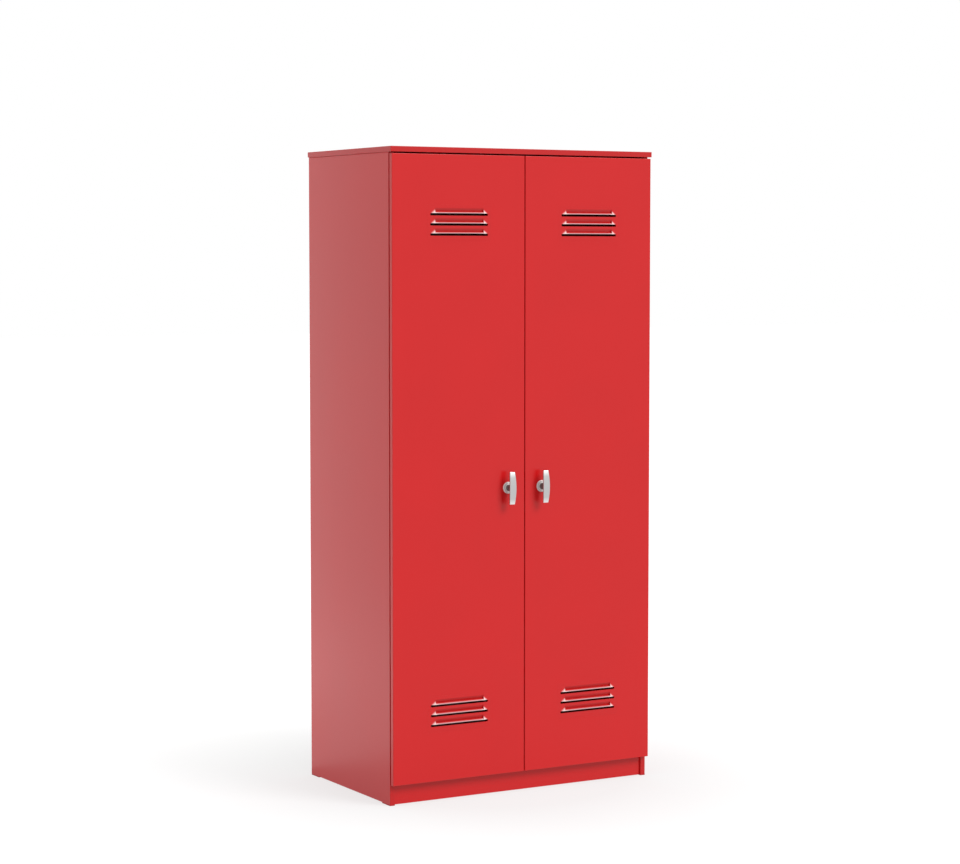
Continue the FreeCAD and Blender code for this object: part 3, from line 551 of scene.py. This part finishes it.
# Painted shade: the neck behind the grip is painted dark grey, where the grip shades it.
neck_shade = add(tree, "ShaderNodeMapRange",
           {"From Min": rosette_face - neck_start, "From Max": rosette_face - neck_full},
           {"Value": axes[1]}).outputs[0]
pale = add(tree, "ShaderNodeMix", {6: linear("D6D4D2"), 7: linear("E2E0DE")}, {0: rings},
           data_type="RGBA").outputs[2]
tint = add(tree, "ShaderNodeMix", {7: linear("6C6A6A")}, {0: neck_shade, 6: pale},
           data_type="RGBA").outputs[2]
rough = add(tree, "ShaderNodeMapRange", {"To Min": 0.36, "To Max": 0.48},
            {"Value": rings}).outputs[0]
bump = add(tree, "ShaderNodeBump", {"Strength": 0.5, "Distance": ring_depth},
           {"Height": rings}).outputs[0]
shader = add(tree, "ShaderNodeBsdfPrincipled", {"Metallic": 0.4, "IOR": 1.45},
             {"Base Color": tint, "Roughness": rough, "Normal": bump}).outputs[0]
add(tree, "ShaderNodeOutputMaterial", links={0: shader})
dress(post_metal, "left_handle_post", "right_handle_post")


# Door buffers: clear soft polyurethane dots, poured on a film and stuck to the inside of the doors,
# where they meet the front edge of the floor panel. The gel is glossy, with a faint haze.
haze_size = 0.002
buffer_gel, tree, place = new_material("clear_polyurethane")
haze = add(tree, "ShaderNodeTexNoise", {"Scale": 1 / haze_size, "Detail": 2.0},
           {"Vector": place}).outputs[0]
tint = add(tree, "ShaderNodeMix", {6: linear("E6E6E0"), 7: linear("F2F2EE")}, {0: haze},
           data_type="RGBA").outputs[2]
rough = add(tree, "ShaderNodeMapRange", {"To Min": 0.15, "To Max": 0.30},
            {"Value": haze}).outputs[0]
shader = add(tree, "ShaderNodeBsdfPrincipled", {"IOR": 1.49, "Transmission Weight": 0.6},
             {"Base Color": tint, "Roughness": rough}).outputs[0]
add(tree, "ShaderNodeOutputMaterial", links={0: shader})
dress(buffer_gel, "left_door_buffers", "right_door_buffers")


# Studio floor and room: a pale paper floor that runs out to white round the locker, and a white
# room. The eye, mirrors and glass see both as white; the light they cast on things is weaker.
def seen_directly(tree):
    """1 for rays from the eye, a mirror or glass, and 0 for the light that falls on things."""
    path = add(tree, "ShaderNodeLightPath").outputs
    seen = add(tree, "ShaderNodeMath", links={0: path["Is Camera Ray"], 1: path["Is Glossy Ray"]},
               operation="MAXIMUM").outputs[0]
    return add(tree, "ShaderNodeMath", links={0: seen, 1: path["Is Transmission Ray"]},
               operation="MAXIMUM").outputs[0]


floor_half = 40.0
near_rim, far_rim = 0.45, 1.4
near_glow, far_glow, cast_glow = 0.705, 0.93, 0.36
tooth_size = 0.6
sheet = bmesh.new()
bmesh.ops.create_grid(sheet, x_segments=1, y_segments=1, size=floor_half)
floor_mesh = bpy.data.meshes.new("studio_floor")
sheet.to_mesh(floor_mesh)
sheet.free()
floor = bpy.data.objects.new("studio_floor", floor_mesh)
bpy.context.scene.collection.objects.link(floor)
paper, tree, place = new_material("pale_studio_paper")
tooth = add(tree, "ShaderNodeTexNoise", {"Scale": 1 / tooth_size, "Detail": 1.0},
            {"Vector": place}).outputs[0]
tint = add(tree, "ShaderNodeMix", {6: linear("7E7E7E"), 7: linear("828282")}, {0: tooth},
           data_type="RGBA").outputs[2]
reach = add(tree, "ShaderNodeVectorMath", links={0: place}, operation="LENGTH").outputs[1]
fade = add(tree, "ShaderNodeMapRange", {"From Min": near_rim, "From Max": far_rim,
                                        "To Min": near_glow, "To Max": far_glow},
           {"Value": reach}).outputs[0]
lift = add(tree, "ShaderNodeMix", {2: cast_glow}, {0: seen_directly(tree), 3: fade}).outputs[0]
shader = add(tree, "ShaderNodeBsdfPrincipled",
             {"Roughness": 0.9, "Specular IOR Level": 0.0, "Emission Color": (1, 1, 1, 1)},
             {"Base Color": tint, "Emission Strength": lift}).outputs[0]
add(tree, "ShaderNodeOutputMaterial", links={0: shader})
floor_mesh.materials.append(paper)

room_light, room_white = 0.60, 1.0
room = bpy.data.worlds.new("white_room")
bpy.context.scene.world = room
room.use_nodes = True
tree = room.node_tree
tree.nodes.clear()
strength = add(tree, "ShaderNodeMix", {2: room_light, 3: room_white},
               {0: seen_directly(tree)}).outputs[0]
shader = add(tree, "ShaderNodeBackground", {"Color": (1, 1, 1, 1)},
             {"Strength": strength}).outputs[0]
add(tree, "ShaderNodeOutputWorld", links={0: shader})


# Studio lights: a softbox overhead, a standing softbox and a lying panel behind the left rear edge,
# which brighten the left side towards the rear, and a broad far key from the front right and high.
# The key misses the left side, which stays in soft shade.
def softbox(name, place, target, width, height, radiance, spread=180):
    """A rectangular light of even face, aimed at a point, that shines within its spread."""
    lamp = bpy.data.lights.new(name, "AREA")
    lamp.shape = "RECTANGLE"
    lamp.size = width
    lamp.size_y = height
    lamp.energy = radiance * math.pi * width * height
    lamp.spread = math.radians(spread)
    stand = bpy.data.objects.new(name, lamp)
    stand.location = place
    stand.rotation_euler = (Vector(target) - Vector(place)).to_track_quat("-Z", "Y").to_euler()
    stand.visible_camera = False
    bpy.context.scene.collection.objects.link(stand)


softbox("overhead_softbox", place=(0.0, -0.8, 4.6), target=(0, 0, 1.0),
        width=3.0, height=2.0, radiance=1.0)
softbox("left_softbox", place=(-0.475, 1.684, 1.36), target=(-0.022, 0.793, 1.36),
        width=1.0, height=2.8, radiance=0.53, spread=120)
softbox("floor_panel", place=(-1.09, 1.94, 0.01), target=(-1.09, 1.94, 2.0),
        width=1.5, height=3.2, radiance=0.45)
key_direction = Vector((-0.405, 0.655, -0.638))
key = bpy.data.lights.new("far_key", "SUN")
key.energy = 1.77
key.angle = math.radians(27)
stand = bpy.data.objects.new("far_key", key)
stand.rotation_euler = key_direction.to_track_quat("-Z", "Y").to_euler()
bpy.context.scene.collection.objects.link(stand)

# The camera stands front left at eye height and looks slightly down through a long lens.
eye = bpy.data.cameras.new("studio_camera")
eye.sensor_width = 36.0
eye.lens = 94.295
eye.clip_end = 200.0
camera = bpy.data.objects.new("studio_camera", eye)
camera.location = (-3.8723, -6.7072, 1.6212)
turn, tilt = math.radians(29.952), math.radians(-4.033)
ahead = Vector((math.sin(turn) * math.cos(tilt), math.cos(turn) * math.cos(tilt), math.sin(tilt)))
camera.rotation_euler = ahead.to_track_quat("-Z", "Y").to_euler()
bpy.context.scene.collection.objects.link(camera)
bpy.context.scene.camera = camera
bpy.context.scene.view_settings.view_transform = "Standard"
